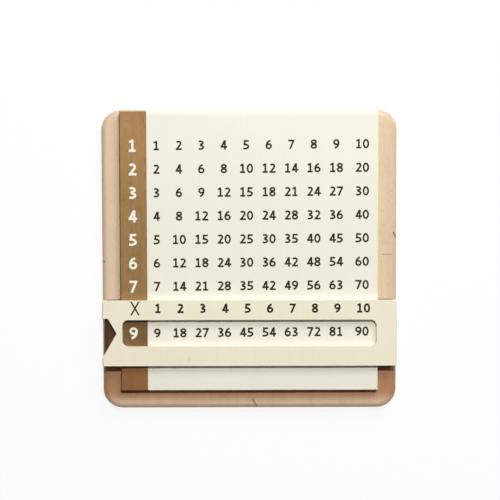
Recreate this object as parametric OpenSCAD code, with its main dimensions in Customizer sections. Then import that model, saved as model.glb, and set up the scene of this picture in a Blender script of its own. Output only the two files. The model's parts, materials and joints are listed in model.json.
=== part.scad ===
// Wooden times-table board with a sliding frame
//
// A beech base board carries a raised panel made of two strips glued side by side: a brown one
// for the row labels and a cream one for the table. A slot is worked into the underside of each
// long edge of the panel. The slider is a cream plate with a long window, glued onto two dark
// rails whose lips run in those slots, so that it travels from the first row to the last one
// and can't be lifted off.
//
// The board lies flat on its back. The origin is at the centre of its underside, +Z is up and
// +Y points to the first row. All sizes are in millimetres.

/* [Base board] */
// Width of the base board, across the columns of the table
board_w = 150; // [140:1:170]
// Length of the base board, along the slider's travel
board_l = 152.4; // [151:0.2:176]
// Thickness of the base board
board_t = 9; // [7:0.5:14]
// Radius of the base board's corners, seen from above
board_corner_r = 10; // [6:0.5:10]
// Round-over along the upper edge of the base board
board_round_r = 3; // [1.5:0.25:4]
// Small round-over along the lower edge of the base board
board_foot_r = 1.5; // [0.5:0.25:2.5]

/* [Raised panel] */
// Bare margin of base board on each side of the panel
side_margin = 9.75; // [8:0.25:13]
// Bare margin of base board below the panel
foot_margin = 10; // [7:0.25:10.5]
// Thickness of the panel above its slots
panel_t = 2; // [1.5:0.25:4]
// Width of the brown label strip
strip_w = 13.4; // [11:0.2:18]
// Step by which the label strip stops short of the panel's top edge
strip_step = 0.5; // [0.1:0.1:2]
// Length of the bevel on the cream part's top edge
bevel_l = 3.1; // [1:0.1:5]
// Height that the bevel takes off the cream part's top edge
bevel_h = 0.9; // [0.3:0.1:1.3]

/* [Slots] */
// Height of the slot under each long edge of the panel
slot_h = 2.4; // [2:0.1:4]
// Depth of the slot, from the panel's edge inwards
slot_d = 3; // [2:0.1:5]

/* [Table] */
// Number of rows, which is also the number of places where the slider reads
rows = 10; // [5:1:10]
// Distance from one row to the next
row_pitch = 11.9; // [11:0.05:12.2]
// Distance from the board's top edge to the middle of the first row
first_row_inset = 17.6; // [17.5:0.1:19]
// Row at which the slider stands
slider_row = 9; // [1:1:10]

/* [Slider plate] */
// Length of the plate along its travel
plate_l = 33.3; // [29:0.1:34]
// Thickness of the plate
plate_t = 3; // [2:0.25:5]
// Step from the base board's side to the plate's end
plate_inset = 0.3; // [0:0.1:2]
// Radius of the plate's two top corners, seen from above
plate_corner_r = 1.2; // [1.1:0.1:4]
// Round-over along the upper edge of the plate's ends
plate_round_r = 1; // [0.3:0.1:1.1]

/* [Window] */
// Height of the window, along the travel
window_h = 13.7; // [11:0.1:15]
// Overlap of the plate over each end of the panel, beside the window
window_inset = 0.8; // [0.4:0.1:3]
// Radius of the window's corners
window_r = 3; // [1:0.25:5]

/* [Pointer notch] */
// Depth of the notch in the plate's left end
notch_d = 7.4; // [4:0.2:8]
// Angle between each edge of the notch and the rows
notch_angle = 60; // [50:1:65]
// Height at which the notch's upper edge ends, above the middle of the row
notch_top = 7.6; // [6:0.2:9]
// Radius where the notch's upper edge ends
notch_r = 1; // [0.5:0.1:2]

/* [Slider rails] */
// Step from the plate's end to the rail's outer side
rail_inset = 1.2; // [0.5:0.1:3]
// Radius of the rail's two outer corners, seen from above
rail_corner_r = 1.5; // [0.5:0.1:3]
// Length of the lip that runs in the slot
lip_l = 24; // [18:0.5:26]

/* [Clearances] */
// Gap between the slider and the board, up and down
gap_z = 0.3; // [0.2:0.05:0.5]
// Gap between the slider and the board, sideways
gap_x = 0.3; // [0.2:0.05:0.5]
// Gap left at each end of the travel
stop_gap = 0.2; // [0.1:0.05:0.5]

/* [Hidden] */

// Pieces of a circle
fine = 96;
// Reach past a face that a cut runs through
past = 1;
// Number of straight steps in the small round of the notch
notch_steps = 6;

// Panel, in plan and in height
panel_w = board_w - 2 * side_margin;
panel_top = board_l / 2;
panel_bottom = -board_l / 2 + foot_margin;
seam_x = -panel_w / 2 + strip_w;
panel_top_z = board_t + slot_h + panel_t;

// Travel of the slider, and where it stands
first_row_y = board_l / 2 - first_row_inset;
last_row_y = first_row_y - (rows - 1) * row_pitch;
slider_y = first_row_y - (min(slider_row, rows) - 1) * row_pitch;

// Slots: as long as the lips' whole travel
slot_top_y = first_row_y + lip_l / 2 + stop_gap;
slot_bottom_y = last_row_y - lip_l / 2 - stop_gap;

// Slider plate and window
plate_w = board_w - 2 * plate_inset;
plate_z = panel_top_z + gap_z;
window_w = panel_w - 2 * window_inset;

// Rails: a block beside the panel, and a lip inside the slot
rail_z = board_t + gap_z;
rail_h = plate_z - rail_z;
rail_in_x = panel_w / 2 + gap_x;
rail_out_x = plate_w / 2 - rail_inset;
lip_in_x = panel_w / 2 - slot_d + gap_x;
lip_root_x = (rail_in_x + rail_out_x) / 2;
lip_h = slot_h - 2 * gap_z;

// Colours
beech = [0.87, 0.75, 0.61];
walnut = [0.66, 0.52, 0.34];
cream = [0.95, 0.94, 0.87];
ivory = [0.92, 0.89, 0.80];
rosewood = [0.38, 0.17, 0.12];

// Quarter of a disc, in the first quadrant
module quarter_disc(r) {
    intersection() {
        circle(r = r, $fn = fine);
        square(2 * r);
    }
}

// Section through an edge: flat at x = 0, rounded above and below at x = depth
module edge_section(depth, height, top_r, foot_r = 0) {
    translate([0, foot_r])
        square([depth, height - top_r - foot_r]);
    translate([0, height - top_r]) {
        square([depth - top_r, top_r]);
        translate([depth - top_r, 0])
            quarter_disc(top_r);
    }
    if (foot_r > 0) {
        square([depth - foot_r, foot_r]);
        translate([depth - foot_r, foot_r])
            mirror([0, 1])
                quarter_disc(foot_r);
    }
}

// Straight stretch of a section given as its child, along Y, with its outer side at +X
module edge_bar(length) {
    translate([0, length / 2, 0])
        rotate([90, 0, 0])
            linear_extrude(height = length)
                children();
}

// Round corner of a section given as its child, in the first quadrant
module edge_corner() {
    rotate_extrude(angle = 90, $fn = fine)
        children();
}

// Rectangle with round corners, centred
module round_rect(w, h, r) {
    translate([-w / 2, -h / 2 + r])
        square([w, h - 2 * r]);
    for (side = [0, 1])
        mirror([0, side])
            translate([0, h / 2 - r]) {
                translate([-w / 2 + r, 0])
                    square([w - 2 * r, r]);
                for (end = [0, 1])
                    mirror([end, 0])
                        translate([w / 2 - r, 0])
                            quarter_disc(r);
            }
}

// Beech base board: rounded all round, but square where the panel's top edge lies flush on it
module base_board() {
    r = board_corner_r;
    mid_w = board_w - 2 * r;
    mid_l = board_l - 2 * r;

    module rounded_edge() {
        edge_section(r, board_t, board_round_r, board_foot_r);
    }

    color(beech) {
        translate([-mid_w / 2, -mid_l / 2, 0])
            cube([mid_w, mid_l, board_t]);
        // Both sides
        for (side = [0, 1])
            mirror([side, 0, 0])
                translate([mid_w / 2, 0, 0])
                    edge_bar(mid_l)
                        rounded_edge();
        // Lower edge
        translate([0, -mid_l / 2, 0])
            rotate([0, 0, -90])
                edge_bar(mid_w)
                    rounded_edge();
        // Upper edge, left square as a seat for the panel
        translate([0, mid_l / 2, 0])
            rotate([0, 0, 90])
                edge_bar(mid_w)
                    mirror([0, 1])
                        translate([0, -board_t])
                            edge_section(r, board_t, board_foot_r);
        // Corners
        for (side = [0, 1], end = [0, 1])
            mirror([side, 0, 0])
                mirror([0, end, 0])
                    translate([mid_w / 2, mid_l / 2, 0])
                        edge_corner()
                            rounded_edge();
    }
}

// Slot under the panel's edge on the +X side, as long as the lip's whole travel
module side_slot() {
    translate([panel_w / 2 - slot_d, slot_bottom_y, board_t - past])
        cube([slot_d + past, slot_top_y - slot_bottom_y, slot_h + past]);
}

// Brown strip for the row labels
module label_strip() {
    color(walnut)
        difference() {
            translate([-panel_w / 2, panel_bottom, board_t])
                cube([strip_w, panel_top - strip_step - panel_bottom, slot_h + panel_t]);
            mirror([1, 0, 0])
                side_slot();
        }
}

// Cream strip for the table, bevelled along its top edge
module table_panel() {
    height = slot_h + panel_t;
    color(cream)
        difference() {
            translate([seam_x, 0, board_t])
                rotate([90, 0, 90])
                    linear_extrude(height = panel_w - strip_w)
                        polygon([
                            [panel_bottom, 0],
                            [panel_top, 0],
                            [panel_top, height - bevel_h],
                            [panel_top - bevel_l, height],
                            [panel_bottom, height]
                        ]);
            side_slot();
        }
}

// Outline of the pointer notch, with its tip at the origin and its mouth towards -X. The upper
// edge ends in a small round, the lower one runs out of the plate's end.
module notch_outline() {
    mouth_x = -notch_d - past;
    // Centre of the round: below the level top edge, and inside the sloping one
    centre_y = notch_top - notch_r;
    centre_x = -(centre_y + notch_r / cos(notch_angle)) / tan(notch_angle);
    round_points = [
        for (i = [0 : notch_steps])
            let (a = 90 - notch_angle + i * notch_angle / notch_steps)
                [centre_x + notch_r * cos(a), centre_y + notch_r * sin(a)]
    ];
    polygon(concat(
        [[0, 0]],
        round_points,
        [[mouth_x, notch_top], [mouth_x, mouth_x * tan(notch_angle)]]
    ));
}

// Cream plate with the reading window and the pointer notch
module slider_plate() {
    r = plate_corner_r;
    mid_w = plate_w - 2 * r;
    color(ivory)
        translate([0, slider_y, plate_z])
            difference() {
                union() {
                    translate([-mid_w / 2, -plate_l / 2, 0])
                        cube([mid_w, plate_l, plate_t]);
                    for (side = [0, 1])
                        mirror([side, 0, 0])
                            translate([mid_w / 2, 0, 0]) {
                                translate([0, -r / 2, 0])
                                    edge_bar(plate_l - r)
                                        edge_section(r, plate_t, plate_round_r);
                                translate([0, plate_l / 2 - r, 0])
                                    edge_corner()
                                        edge_section(r, plate_t, plate_round_r);
                            }
                }
                translate([0, 0, -past])
                    linear_extrude(height = plate_t + 2 * past)
                        round_rect(window_w, window_h, window_r);
                translate([-plate_w / 2 + notch_d, 0, -past])
                    linear_extrude(height = plate_t + 2 * past)
                        notch_outline();
            }
}

// One rail on the +X side: a block beside the panel with a lip that reaches into the slot
module slider_rail() {
    r = rail_corner_r;
    color(rosewood)
        translate([0, slider_y, rail_z]) {
            linear_extrude(height = rail_h) {
                translate([rail_in_x, -plate_l / 2])
                    square([rail_out_x - rail_in_x - r, plate_l]);
                translate([rail_out_x - r, -plate_l / 2 + r])
                    square([r, plate_l - 2 * r]);
                for (end = [0, 1])
                    mirror([0, end])
                        translate([rail_out_x - r, plate_l / 2 - r])
                            quarter_disc(r);
            }
            translate([lip_in_x, -lip_l / 2, 0])
                cube([lip_root_x - lip_in_x, lip_l, lip_h]);
        }
}

module slider_left_rail() {
    mirror([1, 0, 0])
        slider_rail();
}

module slider_right_rail() {
    slider_rail();
}

base_board();
label_strip();
table_panel();
slider_plate();
slider_left_rail();
slider_right_rail();
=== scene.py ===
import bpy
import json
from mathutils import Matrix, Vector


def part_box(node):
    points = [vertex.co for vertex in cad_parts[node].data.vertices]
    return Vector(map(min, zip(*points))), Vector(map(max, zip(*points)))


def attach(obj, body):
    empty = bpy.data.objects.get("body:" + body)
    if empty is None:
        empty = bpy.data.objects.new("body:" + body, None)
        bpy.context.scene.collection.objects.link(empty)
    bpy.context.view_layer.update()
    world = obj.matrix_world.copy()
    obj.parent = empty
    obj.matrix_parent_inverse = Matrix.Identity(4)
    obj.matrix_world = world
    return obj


bl_info = {
    "name": "Times Table Board",
    "version": (1, 0, 0),
    "blender": (4, 5, 0),
    "location": "View3D > Sidebar > Board",
    "description": "Finishes, printed figures and stage of a wooden times table board with a slider",
    "category": "Object",
}

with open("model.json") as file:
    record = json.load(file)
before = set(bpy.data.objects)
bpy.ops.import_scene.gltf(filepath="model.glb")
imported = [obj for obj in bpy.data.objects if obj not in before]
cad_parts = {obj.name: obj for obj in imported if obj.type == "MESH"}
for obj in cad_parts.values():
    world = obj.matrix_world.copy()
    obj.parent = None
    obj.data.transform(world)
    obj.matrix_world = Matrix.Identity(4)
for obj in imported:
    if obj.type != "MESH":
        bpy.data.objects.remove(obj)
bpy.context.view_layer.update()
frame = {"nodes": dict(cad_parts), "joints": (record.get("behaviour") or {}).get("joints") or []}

import json
import math

import bmesh
import bpy
from bpy.props import FloatProperty, FloatVectorProperty, PointerProperty
from mathutils import Matrix, Vector
from mathutils.geometry import delaunay_2d_cdt

MM = 0.001

# The table is ten by ten, and the slider's travel runs from its first row to its last
ROWS = 10
COLUMNS = 10
TRAVEL = frame["joints"][0]["range_m"]
PITCH = (TRAVEL[1] - TRAVEL[0]) / (ROWS - 1)


def node_centre(name):
    """Centre of a CAD node's box at rest."""
    low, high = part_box(name)
    return (low + high) / 2


SLIDER_Y = node_centre("slider_plate").y
FIRST_ROW_Y = SLIDER_Y + TRAVEL[1]
PANEL_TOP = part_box("table_panel")[1].z
PLATE_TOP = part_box("slider_plate")[1].z


def colour_property(name, description, default):
    """A colour that the user can change, as the eye sees it in plain light."""
    return FloatVectorProperty(
        name=name, description=description, subtype="COLOR", size=3,
        min=0.0, max=1.0, default=default,
    )


def length_property(name, description, default):
    """A length that the user can change, in metres."""
    return FloatProperty(
        name=name, description=description, subtype="DISTANCE", unit="LENGTH", default=default,
    )


class BoardPrintSettings(bpy.types.PropertyGroup):
    figure_height: length_property("Figure height", "Height of the table's figures", 4.75 * MM)
    figure_stroke: FloatProperty(
        name="Figure stroke", description="Stroke width over height of the table's figures",
        default=0.19, min=0.05, max=0.3,
    )
    header_stroke: FloatProperty(
        name="Header stroke", description="Stroke width over height of the header's figures",
        default=0.205, min=0.05, max=0.3,
    )
    label_height: length_property("Label height", "Height of the row labels' figures", 6.1 * MM)
    label_stroke: FloatProperty(
        name="Label stroke", description="Stroke width over height of the row labels' figures",
        default=0.19, min=0.05, max=0.3,
    )
    label_x: length_property("Label place", "Middle of the row labels", -58.9 * MM)
    first_column: length_property("First column", "Middle of the table's first column", -46.8 * MM)
    column_pitch: length_property("Column pitch", "Step between the first nine columns", 11.36 * MM)
    last_column: length_property("Last column", "Middle of the table's last column", 57.2 * MM)
    header_rise: length_property("Header rise", "Header line above the middle of the window", 12.75 * MM)
    header_shift: length_property("Header shift", "Header columns to the right of the table's", 0.5 * MM)
    row_slope: FloatProperty(
        name="Row slope", description="Rise of the printed rows over their run", default=0.0068,
        precision=4,
    )
    row_shift: length_property("Row shift", "Printed rows above the middles of their rows", 0.14 * MM)
    cross_height: length_property("Cross height", "Height of the multiplication cross", 7.0 * MM)
    cross_x: length_property("Cross place", "Middle of the multiplication cross", -57.9 * MM)
    ink_rise: length_property("Ink thickness", "Height of the ink above its ground", 0.04 * MM)


class BoardFinishSettings(bpy.types.PropertyGroup):
    beech: colour_property("Beech", "Colour of the base board", (0.774, 0.596, 0.407))
    # Partly painted shade: the beech darkens below the slider.
    beech_low: colour_property("Beech, foot", "Darker beech at the board's foot", (0.49, 0.25, 0.12))
    # Painted light: the rounded bottom edge is paler to make up for the less light it gets.
    beech_rim: colour_property("Beech, rim", "Worn pale rim at the board's foot", (0.78, 0.57, 0.4))
    walnut: colour_property("Walnut", "Colour of the label strip at its top", (0.43, 0.235, 0.072))
    walnut_mid: colour_property("Walnut, middle", "Colour of the strip's middle", (0.355, 0.2, 0.06))
    # Painted shade: the strip's darkest band lies in the slider's window at rest.
    walnut_dark: colour_property("Walnut, dark band", "Darkest wood, at row 9", (0.2, 0.105, 0.028))
    # Partly painted shade: the strip darkens below the slider.
    walnut_low: colour_property("Walnut, foot", "Darker wood at the strip's foot", (0.33, 0.138, 0.036))
    cream: colour_property("Cream", "Paint of the table panel", (0.905, 0.87, 0.754))
    ivory: colour_property("Ivory", "Paint of the slider plate", (0.93, 0.87, 0.68))
    # Painted shade: the rails' near-black red-brown stands for the deep shadow seen through the pointer
    # notch.
    rosewood: colour_property("Rosewood", "Colour of the slider's rails", (0.065, 0.021, 0.008))
    table_ink: colour_property("Table ink", "Ink of the table", (0.026, 0.02, 0.011))
    header_ink: colour_property("Header ink", "Ink of the header on the slider", (0.022, 0.014, 0.005))
    label_ink: colour_property("Label ink", "Ink of the row labels", (0.92, 0.88, 0.74))
    arris: length_property("Arris", "Width of the eased edges of the panel and the slider", 0.3 * MM)


class BoardStageSettings(bpy.types.PropertyGroup):
    camera_place: FloatVectorProperty(
        name="Camera place", description="Where the camera stands", subtype="TRANSLATION",
        size=3, default=(0.0, 0.0758, 0.9072),
    )
    camera_aim: FloatVectorProperty(
        name="Camera aim", description="Point that the camera looks at", subtype="TRANSLATION",
        size=3, default=(0.0004, 0.0052, 0.01),
    )
    camera_roll: FloatProperty(
        name="Camera roll", description="Turn of the camera about its line of sight",
        subtype="ANGLE", default=math.radians(-0.15),
    )
    lens: FloatProperty(name="Lens", description="Focal length in millimetres", default=127.4)
    world_strength: FloatProperty(
        name="Fill", description="Strength of the even light from all round", default=0.055,
    )


class Socket:
    """An output socket in a node tree. Python's operators on it add Math nodes."""

    def __init__(self, nodes, socket):
        self.nodes = nodes
        self.socket = socket

    def __add__(self, other):
        return self.nodes.math("ADD", self, other)

    __radd__ = __add__

    def __sub__(self, other):
        return self.nodes.math("SUBTRACT", self, other)

    def __rsub__(self, other):
        return self.nodes.math("SUBTRACT", other, self)

    def __mul__(self, other):
        return self.nodes.math("MULTIPLY", self, other)

    __rmul__ = __mul__


NOISE_ROUGHNESS = 0.55


class Nodes:
    """A node tree that nodes are added to."""

    def __init__(self, tree):
        self.tree = tree

    def node(self, kind, settings=None, inputs=None, output=0):
        """Adds a node, sets it, feeds its sockets with values or links, and gives one output."""
        made = self.tree.nodes.new(kind)
        for name, value in (settings or {}).items():
            setattr(made, name, value)
        for key, value in (inputs or {}).items():
            self.feed(made.inputs[key], value)
        return Socket(self, made.outputs[output])

    def feed(self, target, value):
        """Links a socket, or sets a value, into an input."""
        if isinstance(value, Socket):
            self.tree.links.new(value.socket, target)
        elif hasattr(target.default_value, "__len__") and len(target.default_value) == 4:
            target.default_value = (*value, 1.0)
        else:
            target.default_value = value

    def math(self, operation, *values):
        """One step of arithmetic."""
        return self.node("ShaderNodeMath", {"operation": operation}, dict(enumerate(values)))


class Finish(Nodes):
    """The node tree of one material, with a Principled shader at its end."""

    def __init__(self, name):
        self.material = bpy.data.materials.new(name)
        self.material.use_nodes = True
        super().__init__(self.material.node_tree)
        self.tree.nodes.clear()
        self.shader = self.tree.nodes.new("ShaderNodeBsdfPrincipled")
        self.output = self.tree.nodes.new("ShaderNodeOutputMaterial")
        self.tree.links.new(self.shader.outputs["BSDF"], self.output.inputs["Surface"])

    def clamped(self, value):
        """A value held between 0 and 1."""
        return self.node("ShaderNodeClamp", None, {"Value": value})

    def scaled(self, vector, factors):
        """A vector whose three parts are each multiplied."""
        return self.node(
            "ShaderNodeVectorMath", {"operation": "MULTIPLY"}, {0: vector, 1: factors}
        )

    def mix(self, factor, first, second, blend="MIX"):
        """A colour between two others."""
        return self.node(
            "ShaderNodeMix", {"data_type": "RGBA", "blend_type": blend},
            {0: factor, 6: first, 7: second}, output=2,
        )

    def smooth(self, value, low, high):
        """0 below low, 1 above high, and a soft step between."""
        return self.node(
            "ShaderNodeMapRange", {"interpolation_type": "SMOOTHSTEP"},
            {"Value": value, "From Min": low, "From Max": high},
        )

    def place(self):
        """The point in the board's frame, in millimetres."""
        point = self.node("ShaderNodeTexCoord", output="Object")
        return self.scaled(point, (1 / MM, 1 / MM, 1 / MM))

    def noise(self, vector, detail=3.0, distortion=0.0):
        """Soft noise between 0 and 1, whose grain is set by how the vector is scaled."""
        return self.node(
            "ShaderNodeTexNoise", None,
            {"Vector": vector, "Scale": 1.0, "Detail": detail, "Roughness": NOISE_ROUGHNESS,
             "Distortion": distortion},
        )

    def along(self, y, first, *steps):
        """A colour that changes along the board. Each step has its start, its end and its colour."""
        tone = first
        for start, end, colour in steps:
            tone = self.mix(self.smooth(y, start, end), tone, colour)
        return tone

    def edge(self, reach):
        """1 along the outer edges of a piece, and 0 on its faces. It masks the painted highlight along
        the edges.
        """
        round_normal = self.node("ShaderNodeBevel", {"samples": 8}, {"Radius": reach})
        true_normal = self.node("ShaderNodeNewGeometry", output="True Normal")
        match = self.node(
            "ShaderNodeVectorMath", {"operation": "DOT_PRODUCT"},
            {0: round_normal, 1: true_normal}, "Value",
        )
        return self.smooth(1 - match, 0.02, 0.2)

    def bump(self, height, distance):
        """The normal of a surface with fine relief, whose depth is given in metres."""
        return self.node(
            "ShaderNodeBump", None, {"Height": height, "Distance": distance, "Strength": 1.0}
        )

    def scratch(self, place, start, end, width):
        """1 near a line between two points seen from above, at any height, and 0 off it."""
        run = Vector(end) - Vector(start)
        flat = self.scaled(place, (1.0, 1.0, 0.0))
        away = self.node(
            "ShaderNodeVectorMath", {"operation": "SUBTRACT"}, {0: flat, 1: (*start, 0.0)}
        )
        along = self.node(
            "ShaderNodeVectorMath", {"operation": "DOT_PRODUCT"},
            {0: away, 1: (run.x / run.length_squared, run.y / run.length_squared, 0.0)}, "Value",
        )
        nearest = self.node(
            "ShaderNodeVectorMath", {"operation": "SCALE"},
            {0: (run.x, run.y, 0.0), "Scale": self.clamped(along)},
        )
        gap = self.node(
            "ShaderNodeVectorMath", {"operation": "DISTANCE"}, {0: away, 1: nearest}, "Value"
        )
        return 1 - self.smooth(gap, 0.3 * width, width)

    def finish(self, colour, roughness, normal, coat=0.0):
        """Feeds the shader and gives the material."""
        self.feed(self.shader.inputs["Base Color"], colour)
        self.feed(self.shader.inputs["Roughness"], roughness)
        self.feed(self.shader.inputs["Normal"], normal)
        self.feed(self.shader.inputs["Coat Weight"], coat)
        return self.material


def shade(colour, factor):
    """A colour made lighter or darker."""
    return tuple(min(1.0, part * factor) for part in colour)


# Where the woods change colour along the board, each from one Y to another, in millimetres
# The beech's darker foot is partly painted shade below the slider.
BEECH_FOOT = (-22.0, -52.0)
# The paler rim is painted light on the board's rounded bottom edge.
BEECH_LIT_RIM = (-67.0, -75.0)
WALNUT_MIDDLE = (65.0, 5.0)
# The dark band is painted shade where the slider's window sits at rest.
WALNUT_WINDOW_SHADE = (-24.0, -34.0)
# The strip's darker foot is partly painted shade below the slider.
WALNUT_FOOT = (-40.0, -52.0)

# Dark marks in the beech, each from a start to an end with a width, in millimetres seen from
# above. A mark is placed by X and Y alone, so it runs through the board's whole thickness.
MARK_COLOUR = (0.12, 0.07, 0.04)
BEECH_MARKS = (
    ((1.6, -71.8), (3.4, -74.8), 0.5),
    ((73.6, 13.8), (74.5, 11.4), 0.7),
    ((-74.2, -0.7), (-73.7, -0.7), 0.5),
    ((68.0, 2.7), (72.6, 2.7), 0.25),
)


def beech_finish(colour, foot, rim):
    """Varnished beech: soft growth bands and short flecks, a darker foot that is partly painted shade
    below the slider, and a pale rim that is painted light.
    """
    f = Finish("beech")
    place = f.place()
    y = f.node("ShaderNodeSeparateXYZ", None, {0: place}, "Y")
    bands = f.noise(f.scaled(place, (0.16, 0.009, 0.16)), detail=4.0, distortion=0.6)
    lines = f.noise(f.scaled(place, (1.6, 0.035, 1.6)), detail=3.0)
    flecks = f.noise(f.scaled(place, (3.2, 0.42, 3.2)), detail=1.0)
    fleck = f.smooth(flecks, 0.60, 0.72)
    # The darker foot is partly painted shade below the slider; the pale rim is painted light on the
    # rounded bottom edge.
    tone = f.along(y, colour, (*BEECH_FOOT, foot), (*BEECH_LIT_RIM, rim))
    tone = f.mix(f.smooth(bands, 0.3, 0.7) * 0.5, tone, (0.88, 0.84, 0.80), "MULTIPLY")
    tone = f.mix(f.smooth(lines, 0.35, 0.75) * 0.3, tone, (0.86, 0.80, 0.74), "MULTIPLY")
    tone = f.mix(fleck * 0.4, tone, (0.70, 0.60, 0.50), "MULTIPLY")
    # Painted highlight along the beech's edges.
    tone = f.mix(f.edge(0.5 * MM) * 0.3, tone, (0.9, 0.75, 0.6))
    marks = [f.scratch(place, *mark) for mark in BEECH_MARKS]
    for mark in marks:
        tone = f.mix(mark * 0.8, tone, MARK_COLOUR)
    height = lines * 0.4 - fleck * 0.6 - marks[0]
    return f.finish(tone, 0.42 + bands * 0.12, f.bump(height, 0.00004), coat=0.08)


def walnut_finish(colour, middle, dark, foot):
    """Brown wood with open pores and mottled figure, with painted shade at row 9, where the slider's
    window sits at rest, and a darker foot that is partly painted shade below the slider.
    """
    f = Finish("walnut")
    place = f.place()
    y = f.node("ShaderNodeSeparateXYZ", None, {0: place}, "Y")
    figure = f.noise(f.scaled(place, (0.22, 0.05, 0.22)), detail=4.0, distortion=1.2)
    lines = f.noise(f.scaled(place, (2.2, 0.07, 2.2)), detail=4.0)
    pores = f.smooth(f.noise(f.scaled(place, (4.5, 0.5, 4.5)), detail=1.0), 0.6, 0.7)
    # The dark band is painted shade in the slider's window, and the darker foot is partly painted shade
    # below the slider.
    tone = f.along(
        y, colour, (*WALNUT_MIDDLE, middle), (*WALNUT_WINDOW_SHADE, dark), (*WALNUT_FOOT, foot)
    )
    tone = f.mix(f.smooth(figure, 0.3, 0.7) * 0.6, tone, (0.74, 0.70, 0.64), "MULTIPLY")
    tone = f.mix(f.smooth(lines, 0.4, 0.7) * 0.35, tone, (0.72, 0.70, 0.66), "MULTIPLY")
    tone = f.mix(pores * 0.4, tone, (0.5, 0.46, 0.42), "MULTIPLY")
    # Painted highlight along the strip's edges.
    tone = f.mix(f.edge(0.4 * MM) * 0.3, tone, (0.7, 0.52, 0.32))
    return f.finish(tone, 0.5 + figure * 0.1, f.bump(lines * 0.4 - pores * 0.6, 0.00005))


# Faint mark in the slider's paint, in the same form
PLATE_MARKS = (((-30.6, -49.1), (-30.6, -51.1), 0.35),)


def paint_finish(name, colour, warm, streaks, marks=()):
    """Thin matt paint on board: faint clouds, faint streaks of the brush and a fine tooth."""
    f = Finish(name)
    place = f.place()
    clouds = f.noise(f.scaled(place, (0.035, 0.03, 0.035)), detail=2.0)
    brush = f.noise(f.scaled(place, (0.9, 0.03, 0.9)), detail=3.0)
    tooth = f.noise(f.scaled(place, (2.6, 2.6, 2.6)), detail=2.0)
    tone = f.mix(f.smooth(clouds, 0.3, 0.7), colour, warm)
    tone = f.mix(f.smooth(brush, 0.35, 0.8) * streaks, tone, shade(colour, 0.9))
    # Painted highlight along the paint's edges.
    tone = f.mix(f.edge(0.4 * MM) * 0.6, tone, (0.97, 0.94, 0.86))
    for mark in marks:
        tone = f.mix(f.scratch(place, *mark) * 0.5, tone, shade(colour, 0.5))
    return f.finish(tone, 0.55 + tooth * 0.1, f.bump(tooth * 0.5 + brush * 0.5, 0.00002))


# How much stronger red, green and blue are in the redder streaks of the rails
REDDER = (1.9, 1.6, 1.4)


def rosewood_finish(colour):
    """Dark red-brown hardwood with redder streaks along the rail. Its dark colour is painted shade,
    standing for the deep shadow seen through the plate's pointer notch.
    """
    f = Finish("rosewood")
    place = f.place()
    streaks = f.noise(f.scaled(place, (0.5, 0.05, 0.5)), detail=4.0, distortion=0.8)
    pores = f.smooth(f.noise(f.scaled(place, (4.0, 0.5, 4.0)), detail=1.0), 0.58, 0.7)
    redder = tuple(part * gain for part, gain in zip(colour, REDDER))
    tone = f.mix(f.smooth(streaks, 0.4, 0.65), colour, redder)
    tone = f.mix(pores * 0.5, tone, shade(colour, 0.5))
    return f.finish(tone, 0.4 + pores * 0.2, f.bump(streaks * 0.5 - pores * 0.5, 0.00005), coat=0.1)


def ink_finish(name, colour):
    """Screen-printed ink with a slightly uneven lay."""
    f = Finish(name)
    lay = f.noise(f.scaled(f.place(), (1.7, 1.7, 1.7)), detail=3.0)
    tone = f.mix(f.smooth(lay, 0.35, 0.75), colour, shade(colour, 1.2))
    f.shader.inputs["Specular IOR Level"].default_value = 0.25
    return f.finish(tone, 0.7 + lay * 0.15, f.bump(lay, 0.00001))


WELD_DISTANCE = 0.001 * MM
FLAT_ANGLE = math.radians(0.5)
ARRIS_ANGLE = math.radians(35)
ARRIS_SEGMENTS = 3
SHADING_WEIGHT = 100


def dress(node_name, material, arris=0.0):
    """Gives a CAD node its finish, smooth curves and slightly eased edges."""
    node = frame["nodes"][node_name]
    node.data.materials.clear()
    node.data.materials.append(material)
    custom = node.data.attributes.get("custom_normal")
    if custom:
        node.data.attributes.remove(custom)
    node.data.shade_smooth()
    weld = node.modifiers.new("weld", "WELD")
    weld.merge_threshold = WELD_DISTANCE
    flat = node.modifiers.new("flat_faces", "DECIMATE")
    flat.decimate_type = "DISSOLVE"
    flat.angle_limit = FLAT_ANGLE
    if arris > 0:
        bevel = node.modifiers.new("arris", "BEVEL")
        bevel.width = arris
        bevel.segments = ARRIS_SEGMENTS
        bevel.limit_method = "ANGLE"
        bevel.angle_limit = ARRIS_ANGLE
    even = node.modifiers.new("even_shading", "WEIGHTED_NORMAL")
    even.keep_sharp = True
    even.weight = SHADING_WEIGHT


ARC_STEPS = 14
RING_STEPS = 28


def arc(centre, radii, start, end, steps=ARC_STEPS):
    """Points of an ellipse's arc, from one angle to another in degrees."""
    points = []
    for i in range(steps + 1):
        a = math.radians(start + (end - start) * i / steps)
        points.append((centre[0] + radii[0] * math.cos(a), centre[1] + radii[1] * math.sin(a)))
    return points


def ring(centre, radii):
    """Points of a whole ellipse, each once."""
    return arc(centre, radii, 0, 360, RING_STEPS)[:-1]


# Shares of a figure's height: its box's width, the step to the next figure, and the cross
FIGURE_WIDTH = 0.68
FIGURE_STEP = 0.77
CROSS_WIDTH = 0.72
CROSS_STROKE = 0.11


def turned(strokes):
    """Strokes turned half way round within the figure's box."""
    return [
        ([(FIGURE_WIDTH - x, 1 - y) for x, y in points], kind) for points, kind in strokes
    ]


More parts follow.
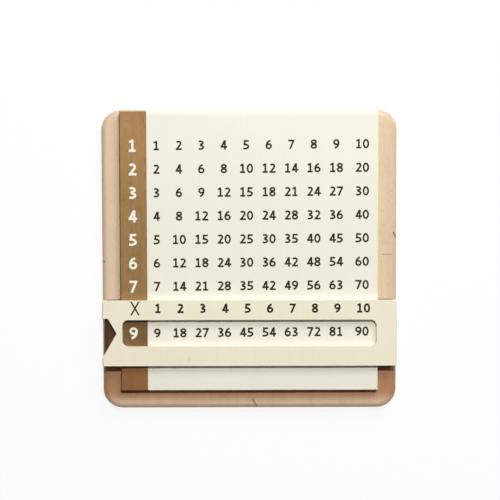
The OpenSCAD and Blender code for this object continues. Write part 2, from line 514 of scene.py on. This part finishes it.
def figure_strokes(sign, h):
    """The middle lines of a sign of height 1, for strokes of half width h.

    Each has a kind: a closed ring, a line cut square, or a line cut level at its ends.
    """
    w = FIGURE_WIDTH
    mid = w / 2
    low = h
    high = 1 - h
    if sign == "0":
        return [(ring((mid, 0.5), (mid - h, 0.5 - h)), "ring")]
    if sign == "1":
        stem = 0.36
        return [
            ([(stem, 0), (stem, 1)], "level"),
            ([(stem - 0.27, 0.80), (stem - 0.10, 0.865), (stem + 0.4 * h, 1 - 0.5 * h)], "square"),
            ([(0.06, low), (0.62, low)], "square"),
        ]
    if sign == "2":
        bowl = arc((mid - 0.02, 0.70), (mid - h - 0.02, 0.30 - h), 150, -38)
        return [
            (bowl + [(0.06 + h, low)], "square"),
            ([(0.03, low), (w, low)], "square"),
        ]
    if sign == "3":
        return [
            (arc((0.26, 0.745), (0.35 - h, 0.255 - h), 130, -90), "square"),
            (arc((0.25, 0.28), (0.40 - h, 0.28 - h), 90, -125), "square"),
            ([(0.18, 0.525), (0.32, 0.525)], "square"),
        ]
    if sign == "4":
        stem = 0.47
        bar = 0.30
        return [
            ([(stem, 0), (stem, 1)], "level"),
            ([(stem - 0.3 * h, 1 - 0.2 * h), (0.02 + h, bar)], "level"),
            ([(0.0, bar), (w + 0.03, bar)], "square"),
        ]
    if sign == "5":
        left = 0.08 + h
        return [
            ([(left - h, high), (w - 0.06, high)], "square"),
            ([(left, high), (left, 0.53)], "square"),
            (arc((0.20, 0.315), (w - h - 0.21, 0.315 - h), 112, -118), "square"),
        ]
    if sign == "6":
        side = mid + 0.20
        return [
            (ring((mid, 0.32), (mid - h, 0.32 - h)), "ring"),
            (arc((side, 0.36), (side - h, 0.64 - h), 180, 94), "square"),
        ]
    if sign == "7":
        return [
            ([(0.02, high), (w, high)], "square"),
            ([(w - 1.05 * h, high), (0.21, 0)], "level"),
        ]
    if sign == "8":
        return [
            (ring((mid, 0.738), (mid - h - 0.02, 0.262 - h)), "ring"),
            (ring((mid, 0.286), (mid - h, 0.286 - h)), "ring"),
        ]
    if sign == "9":
        return turned(figure_strokes("6", h))
    if sign == "x":
        return [
            ([(h * 1.3, 0), (CROSS_WIDTH - h * 1.3, 1)], "level"),
            ([(h * 1.3, 1), (CROSS_WIDTH - h * 1.3, 0)], "level"),
        ]
    raise ValueError("no strokes for the sign " + sign)


# Least share of a mitre that is kept at a sharp corner, and least slope of a line cut level
MITRE_FLOOR = 0.4
LEVEL_SLOPE = 0.1


def stroke_sides(points, kind, h):
    """The two side points of a stroke at each of its middle points, with mitred corners."""
    closed = kind == "ring"
    count = len(points)
    sides = []
    for i in range(count):
        here = Vector(points[i])
        before = Vector(points[i - 1]) if closed or i > 0 else None
        after = Vector(points[(i + 1) % count]) if closed or i < count - 1 else None
        runs = []
        if before:
            runs.append((here - before).normalized())
        if after:
            runs.append((after - here).normalized())
        along = sum(runs, Vector((0, 0))).normalized()
        across = Vector((-along.y, along.x))
        if len(runs) == 2:
            reach = h / max(MITRE_FLOOR, across.dot(Vector((-runs[0].y, runs[0].x))))
        elif kind == "level" and abs(along.y) > LEVEL_SLOPE:
            across = Vector((-1.0 if along.y > 0 else 1.0, 0.0))
            reach = h / abs(along.y)
        else:
            reach = h
        sides.append((here + across * reach, here - across * reach))
    return sides


def sign_shape(sign, stroke):
    """The flat outline of a sign of height 1 as (points, faces), its strokes melted into one."""
    h = stroke / 2
    points = []
    quads = []
    for middle, kind in figure_strokes(sign, h):
        first = len(points)
        sides = stroke_sides(middle, kind, h)
        for left, right in sides:
            points += [left, right]
        pieces = len(sides) if kind == "ring" else len(sides) - 1
        for i in range(pieces):
            a = first + 2 * i
            b = first + 2 * ((i + 1) % len(sides))
            quads.append((a, a + 1, b + 1, b))
    flat, _, faces, _, _, origins = delaunay_2d_cdt(points, [], quads, 1, 1e-6)
    kept = [face for face, origin in zip(faces, origins) if origin]
    return flat, kept


def lay_sign(whole, shape, corner, height, z):
    """Adds a sign's flat faces to a mesh, from its lower left corner."""
    flat, faces = shape
    verts = [
        whole.verts.new((corner[0] + p.x * height, corner[1] + p.y * height, z)) for p in flat
    ]
    for face in faces:
        whole.faces.new([verts[k] for k in face])


def lay_texts(whole, jobs, z):
    """Adds the flat signs of all texts to a mesh."""
    shapes = {}
    for text, middle, height, stroke, width in jobs:
        run = (len(text) - 1) * FIGURE_STEP + width
        for i, sign in enumerate(text):
            if (sign, stroke) not in shapes:
                shapes[sign, stroke] = sign_shape(sign, stroke)
            left = i * FIGURE_STEP - run / 2
            corner = (middle[0] + left * height, middle[1] - 0.5 * height)
            lay_sign(whole, shapes[sign, stroke], corner, height, z)


# How far the ink reaches down from its top, as a share of its height above the ground
INK_DEPTH = 1.5


def thicken(whole, rise):
    """Cleans flat signs and makes them closed solids that reach into their ground."""
    loose = [v for v in whole.verts if not v.link_faces]
    bmesh.ops.delete(whole, geom=loose, context="VERTS")
    bmesh.ops.dissolve_limit(
        whole, angle_limit=math.radians(1), verts=whole.verts, edges=whole.edges
    )
    bmesh.ops.recalc_face_normals(whole, faces=whole.faces)
    for face in whole.faces:
        if face.normal.z < 0:
            face.normal_flip()
    top = list(whole.faces)
    sunk = bmesh.ops.extrude_face_region(whole, geom=top, use_keep_orig=True)
    below = [v for v in sunk["geom"] if isinstance(v, bmesh.types.BMVert)]
    bmesh.ops.translate(whole, verts=below, vec=(0, 0, -INK_DEPTH * rise))
    bmesh.ops.recalc_face_normals(whole, faces=whole.faces)


def print_signs(name, jobs, ground_z, rise, material, body):
    """One piece of print: each job is (text, middle, height, stroke, shape width)."""
    whole = bmesh.new()
    lay_texts(whole, jobs, ground_z + rise)
    thicken(whole, rise)
    mesh = bpy.data.meshes.new(name)
    whole.to_mesh(mesh)
    whole.free()
    mesh.materials.append(material)
    piece = bpy.data.objects.new(name, mesh)
    bpy.context.scene.collection.objects.link(piece)
    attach(piece, body)


def on_row(settings, x, row):
    """The point at x on the middle line of a row of the table, counted from 1."""
    return x, FIRST_ROW_Y - (row - 1) * PITCH + settings.row_shift + settings.row_slope * x


def column_x(settings, column):
    """Middle of a column of the table, counted from 1."""
    if column == COLUMNS:
        return settings.last_column
    return settings.first_column + (column - 1) * settings.column_pitch


class BOARD_OT_dress_base(bpy.types.Operator):
    """Gives the base board its varnished beech"""
    bl_idname = "board.dress_base"
    bl_label = "Dress base board"

    def execute(self, context):
        colours = context.scene.board_finish
        dress("base_board", beech_finish(colours.beech, colours.beech_low, colours.beech_rim))
        return {"FINISHED"}


class BOARD_OT_dress_panel(bpy.types.Operator):
    """Gives the label strip its brown wood and the table panel its cream paint"""
    bl_idname = "board.dress_panel"
    bl_label = "Dress raised panel"

    def execute(self, context):
        colours = context.scene.board_finish
        walnut = walnut_finish(
            colours.walnut, colours.walnut_mid, colours.walnut_dark, colours.walnut_low,
        )
        dress("label_strip", walnut, colours.arris)
        cream = paint_finish("cream_paint", colours.cream, shade(colours.cream, 0.98), 0.15)
        dress("table_panel", cream, colours.arris)
        return {"FINISHED"}


class BOARD_OT_dress_slider(bpy.types.Operator):
    """Gives the slider plate its ivory paint and the two rails their dark wood, whose darkness is
    painted shade for the pointer notch
    """
    bl_idname = "board.dress_slider"
    bl_label = "Dress slider"

    def execute(self, context):
        colours = context.scene.board_finish
        warm = shade(colours.ivory, 0.97)
        ivory = paint_finish("ivory_paint", colours.ivory, warm, 0.3, PLATE_MARKS)
        dress("slider_plate", ivory, colours.arris)
        # The rails' dark colour is painted shade, seen through the pointer notch.
        dark = rosewood_finish(colours.rosewood)
        dress("slider_left_rail", dark, colours.arris)
        dress("slider_right_rail", dark, colours.arris)
        return {"FINISHED"}


class BOARD_OT_print_table(bpy.types.Operator):
    """Prints the products of the table on the cream panel"""
    bl_idname = "board.print_table"
    bl_label = "Print table"

    def execute(self, context):
        p = context.scene.board_print
        ink = ink_finish("table_ink", context.scene.board_finish.table_ink)
        jobs = [
            (str(row * column), on_row(p, column_x(p, column), row), p.figure_height,
             p.figure_stroke, FIGURE_WIDTH)
            for row in range(1, ROWS + 1) for column in range(1, COLUMNS + 1)
        ]
        print_signs("table_figures", jobs, PANEL_TOP, p.ink_rise, ink, "board")
        return {"FINISHED"}


class BOARD_OT_print_labels(bpy.types.Operator):
    """Prints the row labels on the brown strip"""
    bl_idname = "board.print_labels"
    bl_label = "Print row labels"

    def execute(self, context):
        p = context.scene.board_print
        ink = ink_finish("label_ink", context.scene.board_finish.label_ink)
        jobs = [
            (str(row), on_row(p, p.label_x, row), p.label_height, p.label_stroke, FIGURE_WIDTH)
            for row in range(1, ROWS + 1)
        ]
        print_signs("label_figures", jobs, PANEL_TOP, p.ink_rise, ink, "board")
        return {"FINISHED"}


class BOARD_OT_print_header(bpy.types.Operator):
    """Prints the column heads and the multiplication cross on the slider"""
    bl_idname = "board.print_header"
    bl_label = "Print header"

    def execute(self, context):
        p = context.scene.board_print
        ink = ink_finish("header_ink", context.scene.board_finish.header_ink)
        y = SLIDER_Y + p.header_rise
        jobs = [
            (str(column), (column_x(p, column) + p.header_shift, y), p.figure_height,
             p.header_stroke, FIGURE_WIDTH)
            for column in range(1, COLUMNS + 1)
        ]
        jobs.append(("x", (p.cross_x, y), p.cross_height, CROSS_STROKE, CROSS_WIDTH))
        print_signs("header_figures", jobs, PLATE_TOP, p.ink_rise, ink, "slider")
        return {"FINISHED"}


LAMP_DISTANCE = 1.2
# Name, azimuth and elevation in degrees, size in metres, power in watts and colour
LAMPS = (
    ("key", 12, 66, 0.05, 8.8, (1.0, 1.0, 1.0)),
    ("window", 22, 38, 0.5, 7.5, (1.0, 0.99, 0.97)),
    ("front", 205, 20, 0.5, 0.8, (1.0, 0.97, 0.93)),
)
FLOOR_REACH = 6.0
FLOOR_COLOUR = (0.9, 0.9, 0.9)
FLOOR_ROUGHNESS = 0.9
# Share of plain white that the camera and mirror-like surfaces see in the floor
FLOOR_WHITE = 0.9


def lamp(name, azimuth, elevation, size, power, colour):
    """A square soft lamp that faces the board, seen at an azimuth counted clockwise from +Y."""
    light = bpy.data.lights.new(name, "AREA")
    light.shape = "SQUARE"
    light.size = size
    light.energy = power
    light.color = colour
    made = bpy.data.objects.new(name, light)
    a, e = math.radians(azimuth), math.radians(elevation)
    out = Vector((math.sin(a) * math.cos(e), math.cos(a) * math.cos(e), math.sin(e)))
    made.location = out * LAMP_DISTANCE
    made.rotation_euler = out.to_track_quat("Z", "Y").to_euler()
    bpy.context.scene.collection.objects.link(made)


def floor_finish():
    """Pale floor that the camera sees as white."""
    f = Finish("pale_floor")
    f.feed(f.shader.inputs["Base Color"], FLOOR_COLOUR)
    f.feed(f.shader.inputs["Roughness"], FLOOR_ROUGHNESS)
    camera_ray = f.node("ShaderNodeLightPath", output="Is Camera Ray")
    glossy_ray = f.node("ShaderNodeLightPath", output="Is Glossy Ray")
    seen = f.math("MAXIMUM", camera_ray, glossy_ray)
    glow = f.node("ShaderNodeEmission", None, {"Color": (1.0, 1.0, 1.0)})
    matt = Socket(f, f.shader.outputs["BSDF"])
    both = f.node("ShaderNodeMixShader", None, {0: seen * FLOOR_WHITE, 1: matt, 2: glow})
    f.feed(f.output.inputs["Surface"], both)
    return f.material


def lay_floor(scene):
    """Lays the floor at the height of the board's underside."""
    r = FLOOR_REACH
    mesh = bpy.data.meshes.new("floor")
    mesh.from_pydata([(-r, -r, 0), (r, -r, 0), (r, r, 0), (-r, r, 0)], [], [(0, 1, 2, 3)])
    mesh.materials.append(floor_finish())
    floor = bpy.data.objects.new("floor", mesh)
    scene.collection.objects.link(floor)


def set_world(scene, strength):
    """Even light from all round, which the camera sees as white."""
    world = bpy.data.worlds.new("studio")
    world.use_nodes = True
    nodes = Nodes(world.node_tree)
    back = world.node_tree.nodes["Background"]
    nodes.feed(back.inputs["Color"], (1.0, 1.0, 1.0))
    camera_ray = nodes.node("ShaderNodeLightPath", output="Is Camera Ray")
    level = nodes.node("ShaderNodeMix", None, {0: camera_ray, 2: strength, 3: 1.0})
    nodes.feed(back.inputs["Strength"], level)
    scene.world = world


def place_camera(scene, s):
    """Sets up the camera with the board's +Y upwards in the picture."""
    camera = bpy.data.cameras.new("camera")
    camera.lens = s.lens
    holder = bpy.data.objects.new("camera", camera)
    place = Vector(s.camera_place)
    sight = (Vector(s.camera_aim) - place).normalized()
    right = sight.cross(Vector((0, 1, 0))).normalized()
    aim = Matrix((right, right.cross(sight), -sight)).transposed().to_4x4()
    roll = Matrix.Rotation(s.camera_roll, 4, "Z")
    holder.matrix_world = Matrix.Translation(place) @ aim @ roll
    scene.collection.objects.link(holder)
    scene.camera = holder


class BOARD_OT_set_stage(bpy.types.Operator):
    """Lays the pale floor and sets the lamps and the camera"""
    bl_idname = "board.set_stage"
    bl_label = "Set stage"

    def execute(self, context):
        scene = context.scene
        lay_floor(scene)
        for settings in LAMPS:
            lamp(*settings)
        set_world(scene, scene.board_stage.world_strength)
        scene.view_settings.view_transform = "Standard"
        place_camera(scene, scene.board_stage)
        return {"FINISHED"}


class BOARD_PT_sidebar(bpy.types.Panel):
    """Steps that dress the board, in order"""
    bl_idname = "BOARD_PT_sidebar"
    bl_label = "Times Table Board"
    bl_space_type = "VIEW_3D"
    bl_region_type = "UI"
    bl_category = "Board"

    def draw(self, context):
        for step in STEPS:
            self.layout.operator(step.bl_idname)
        for group in (context.scene.board_print, context.scene.board_finish,
                      context.scene.board_stage):
            box = self.layout.box()
            for name in group.__annotations__:
                box.prop(group, name)


STEPS = (
    BOARD_OT_set_stage,
    BOARD_OT_dress_base,
    BOARD_OT_dress_panel,
    BOARD_OT_dress_slider,
    BOARD_OT_print_table,
    BOARD_OT_print_labels,
    BOARD_OT_print_header,
)
SETTINGS = {
    "board_print": BoardPrintSettings,
    "board_finish": BoardFinishSettings,
    "board_stage": BoardStageSettings,
}


def register():
    """Adds the add-on's settings, steps and panel."""
    for cls in (*SETTINGS.values(), *STEPS, BOARD_PT_sidebar):
        bpy.utils.register_class(cls)
    for name, cls in SETTINGS.items():
        setattr(bpy.types.Scene, name, PointerProperty(type=cls))


def unregister():
    """Takes them away again."""
    for name in SETTINGS:
        delattr(bpy.types.Scene, name)
    for cls in (BOARD_PT_sidebar, *reversed(STEPS), *SETTINGS.values()):
        bpy.utils.unregister_class(cls)


def main():
    """Runs the steps in order."""
    register()
    for step in STEPS:
        group, name = step.bl_idname.split(".")
        getattr(getattr(bpy.ops, group), name)()
    bpy.context.view_layer.update()


if __name__ == "__main__":
    main()
